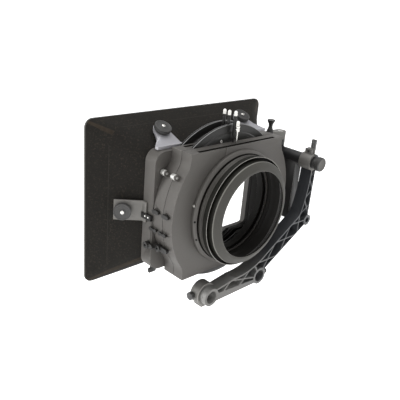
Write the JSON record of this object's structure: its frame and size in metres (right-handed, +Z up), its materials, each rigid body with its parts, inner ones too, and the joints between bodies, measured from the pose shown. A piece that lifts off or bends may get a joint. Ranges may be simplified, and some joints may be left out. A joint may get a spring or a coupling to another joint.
{
  "type": "matte box",
  "caption": "Swing-away matte box: flared hood, rotating filter stages, round lens port and a trussed rod console.",
  "frame": {"origin": "midway between the two rod bores, on the console arm's rear face", "axes": "+Z up, +Y back towards the camera and lens, so the hood opens towards -Y; the swing hinge is on -X"},
  "size_m": [0.342, 0.1582, 0.274],
  "materials": {
    "arm_grey": "dark grey anodised, satin",
    "cast_grey": "grey anodised, satin",
    "plate_grey": "warm grey anodised, satin",
    "part_black": "black anodised, satin",
    "knob_black": "black anodised, turned",
    "hood_black": "matt, fine speckle",
    "steel": "bright turned",
    "white_cap": "smooth",
    "rubber": "matt"
  },
  "bodies": {
    "console": {"console_arm": "arm_grey", "rod_clamp_block": "cast_grey"},
    "head_lever": {"head_clamp_lever": "knob_black"},
    "near_lock": {"rod_lock_knob_near": "knob_black"},
    "far_lock": {"rod_lock_knob_far": "knob_black"},
    "carriage": {"support_tube": "arm_grey", "hinge_post": "cast_grey", "hinge_pin": "steel"},
    "end_knob": {"tube_end_knob": "knob_black"},
    "box": {"upper_hinge_arm": "cast_grey", "lower_hinge_arm": "cast_grey", "main_frame": "plate_grey", "hood": "hood_black", "hood_edge_trim": "rubber", "filter_stage": "plate_grey", "rear_stage": "plate_grey", "rear_collar": "plate_grey", "lens_ring": "cast_grey", "lens_barrel": "rubber", "collar_screw_1": "steel", "collar_screw_2": "steel", "collar_screw_3": "steel", "side_flag_tab_left": "plate_grey", "side_flag_tab_right": "plate_grey", "top_flag_bracket_left": "plate_grey", "top_flag_bracket_right": "plate_grey", "index_plate": "part_black"},
    "pull_pin": {"pull_pin": "part_black"},
    "front_disc": {"rotating_disc_front": "part_black"},
    "rear_disc": {"rotating_disc_rear": "part_black"},
    "bottom_lever": {"bottom_lever": "part_black"},
    "side_knob_left": {"side_flag_knob_left": "knob_black"},
    "side_knob_right": {"side_flag_knob_right": "knob_black"},
    "top_knob_left": {"top_flag_knob_left": "knob_black"},
    "top_knob_right": {"top_flag_knob_right": "knob_black"},
    "thumb_1": {"thumb_screw_1": "steel"},
    "thumb_2": {"thumb_screw_2": "steel"},
    "link_left_1": {"stage_link_left_1": "part_black"},
    "link_right_1": {"stage_link_right_1": "part_black"},
    "link_left_2": {"stage_link_left_2": "part_black"},
    "link_right_2": {"stage_link_right_2": "part_black"},
    "catch_1": {"tray_catch_1": "part_black"},
    "catch_2": {"tray_catch_2": "part_black"},
    "clamp_1": {"stage_clamp_1": "part_black"},
    "clamp_2": {"stage_clamp_2": "part_black"},
    "pin_1": {"stage_pin_1": "part_black", "stage_pin_cap_1": "white_cap"},
    "pin_2": {"stage_pin_2": "part_black", "stage_pin_cap_2": "white_cap"},
    "pin_3": {"stage_pin_3": "part_black", "stage_pin_cap_3": "white_cap"},
    "pin_4": {"stage_pin_4": "steel", "stage_pin_cap_4": "white_cap"}
  },
  "joints": [
    {"name": "head_clamp_lever_turn", "type": "hinge", "parent": "console", "child": "head_lever", "pos_m": [-0.1505, -0.01, 0.184], "axis": [1, 0, 0], "range_deg": [0, 90]},
    {"name": "rod_lock_knob_near_turn", "type": "hinge", "parent": "console", "child": "near_lock", "pos_m": [0.0728, -0.0214, 0], "axis": [1, 0, 0], "range_deg": [0, 360]},
    {"name": "rod_lock_knob_far_turn", "type": "hinge", "parent": "console", "child": "far_lock", "pos_m": [-0.068, -0.0052, 0.0016], "axis": [1, 0, 0], "range_deg": [0, 360]},
    {"name": "support_tube_slide", "type": "slide", "parent": "console", "child": "carriage", "axis": [0, 1, 0], "range_m": [-0.006, 0.0022]},
    {"name": "tube_end_knob_turn", "type": "hinge", "parent": "carriage", "child": "end_knob", "pos_m": [-0.1505, 0.008, 0.168], "axis": [0, 1, 0], "range_deg": [0, 360]},
    {"name": "box_swing", "type": "hinge", "parent": "carriage", "child": "box", "pos_m": [-0.1505, -0.0716, 0.121], "axis": [0, 0, -1], "range_deg": [0, 110]},
    {"name": "pull_pin_lift", "type": "slide", "parent": "box", "child": "pull_pin", "axis": [0, 0, 1], "range_m": [0, 0.009], "stiffness_N_per_m": 400, "springref_m": -0.005},
    {"name": "rotating_disc_front_spin", "type": "hinge", "parent": "box", "child": "front_disc", "pos_m": [0, -0.064, 0.121], "axis": [0, 1, 0], "continuous": true},
    {"name": "rotating_disc_rear_spin", "type": "hinge", "parent": "box", "child": "rear_disc", "pos_m": [0, -0.0443, 0.121], "axis": [0, 1, 0], "continuous": true},
    {"name": "side_flag_knob_left_turn", "type": "hinge", "parent": "box", "child": "side_knob_left", "pos_m": [0.13979, -0.09763, 0.1205], "axis": [0.6293, 0.7771, 0], "range_deg": [0, 360]},
    {"name": "side_flag_knob_right_turn", "type": "hinge", "parent": "box", "child": "side_knob_right", "pos_m": [-0.13979, -0.09763, 0.1205], "axis": [-0.6293, 0.7771, 0], "range_deg": [0, 360]},
    {"name": "top_flag_knob_left_turn", "type": "hinge", "parent": "box", "child": "top_knob_left", "pos_m": [0.079, -0.0977, 0.22281], "axis": [0, 0.4617, 0.887], "range_deg": [0, 360]},
    {"name": "top_flag_knob_right_turn", "type": "hinge", "parent": "box", "child": "top_knob_right", "pos_m": [-0.079, -0.0977, 0.22281], "axis": [0, 0.4617, 0.887], "range_deg": [0, 360]},
    {"name": "thumb_screw_1_turn", "type": "hinge", "parent": "box", "child": "thumb_1", "pos_m": [0.10578, -0.0603, 0.18036], "axis": [0, 1, 0], "range_deg": [0, 360]},
    {"name": "thumb_screw_2_turn", "type": "hinge", "parent": "box", "child": "thumb_2", "pos_m": [0.10578, -0.0406, 0.18036], "axis": [0, 1, 0], "range_deg": [0, 360]},
    {"name": "stage_link_left_1_turn", "type": "hinge", "parent": "box", "child": "link_left_1", "pos_m": [0.1173, -0.0531, 0.1015], "axis": [-1, 0, 0], "range_deg": [0, 90]},
    {"name": "stage_link_right_1_turn", "type": "hinge", "parent": "box", "child": "link_right_1", "pos_m": [-0.1173, -0.0531, 0.1015], "axis": [-1, 0, 0], "range_deg": [0, 90]},
    {"name": "stage_link_left_2_turn", "type": "hinge", "parent": "box", "child": "link_left_2", "pos_m": [0.1173, -0.0341, 0.1015], "axis": [-1, 0, 0], "range_deg": [0, 90]},
    {"name": "stage_link_right_2_turn", "type": "hinge", "parent": "box", "child": "link_right_2", "pos_m": [-0.1173, -0.0341, 0.1015], "axis": [-1, 0, 0], "range_deg": [0, 90]},
    {"name": "tray_catch_1_turn", "type": "hinge", "parent": "box", "child": "catch_1", "pos_m": [0.1173, -0.0498, 0.1285], "axis": [-1, 0, 0], "range_deg": [0, 90]},
    {"name": "tray_catch_2_turn", "type": "hinge", "parent": "box", "child": "catch_2", "pos_m": [0.1173, -0.0304, 0.1285], "axis": [-1, 0, 0], "range_deg": [0, 90]},
    {"name": "stage_clamp_1_turn", "type": "hinge", "parent": "box", "child": "clamp_1", "pos_m": [0.1173, -0.0669, 0.076], "axis": [-1, 0, 0], "range_deg": [0, 90]},
    {"name": "stage_clamp_2_turn", "type": "hinge", "parent": "box", "child": "clamp_2", "pos_m": [0.1103, -0.05, 0.076], "axis": [-1, 0, 0], "range_deg": [0, 90]},
    {"name": "stage_pin_1_lift", "type": "slide", "parent": "box", "child": "pin_1", "axis": [0, 0, 1], "range_m": [0, 0.006], "stiffness_N_per_m": 150, "springref_m": -0.003},
    {"name": "stage_pin_2_lift", "type": "slide", "parent": "box", "child": "pin_2", "axis": [0, 0, 1], "range_m": [0, 0.006], "stiffness_N_per_m": 150, "springref_m": -0.003},
    {"name": "stage_pin_3_lift", "type": "slide", "parent": "box", "child": "pin_3", "axis": [0, 0, 1], "range_m": [0, 0.006], "stiffness_N_per_m": 150, "springref_m": -0.003},
    {"name": "stage_pin_4_lift", "type": "slide", "parent": "box", "child": "pin_4", "axis": [0, 0, 1], "range_m": [0, 0.006], "stiffness_N_per_m": 150, "springref_m": -0.003},
    {"name": "bottom_lever_turn", "type": "hinge", "parent": "box", "child": "bottom_lever", "pos_m": [0.104, -0.0726, 0.028], "axis": [0, 0, 1], "range_deg": [-90, 90]}
  ]
}
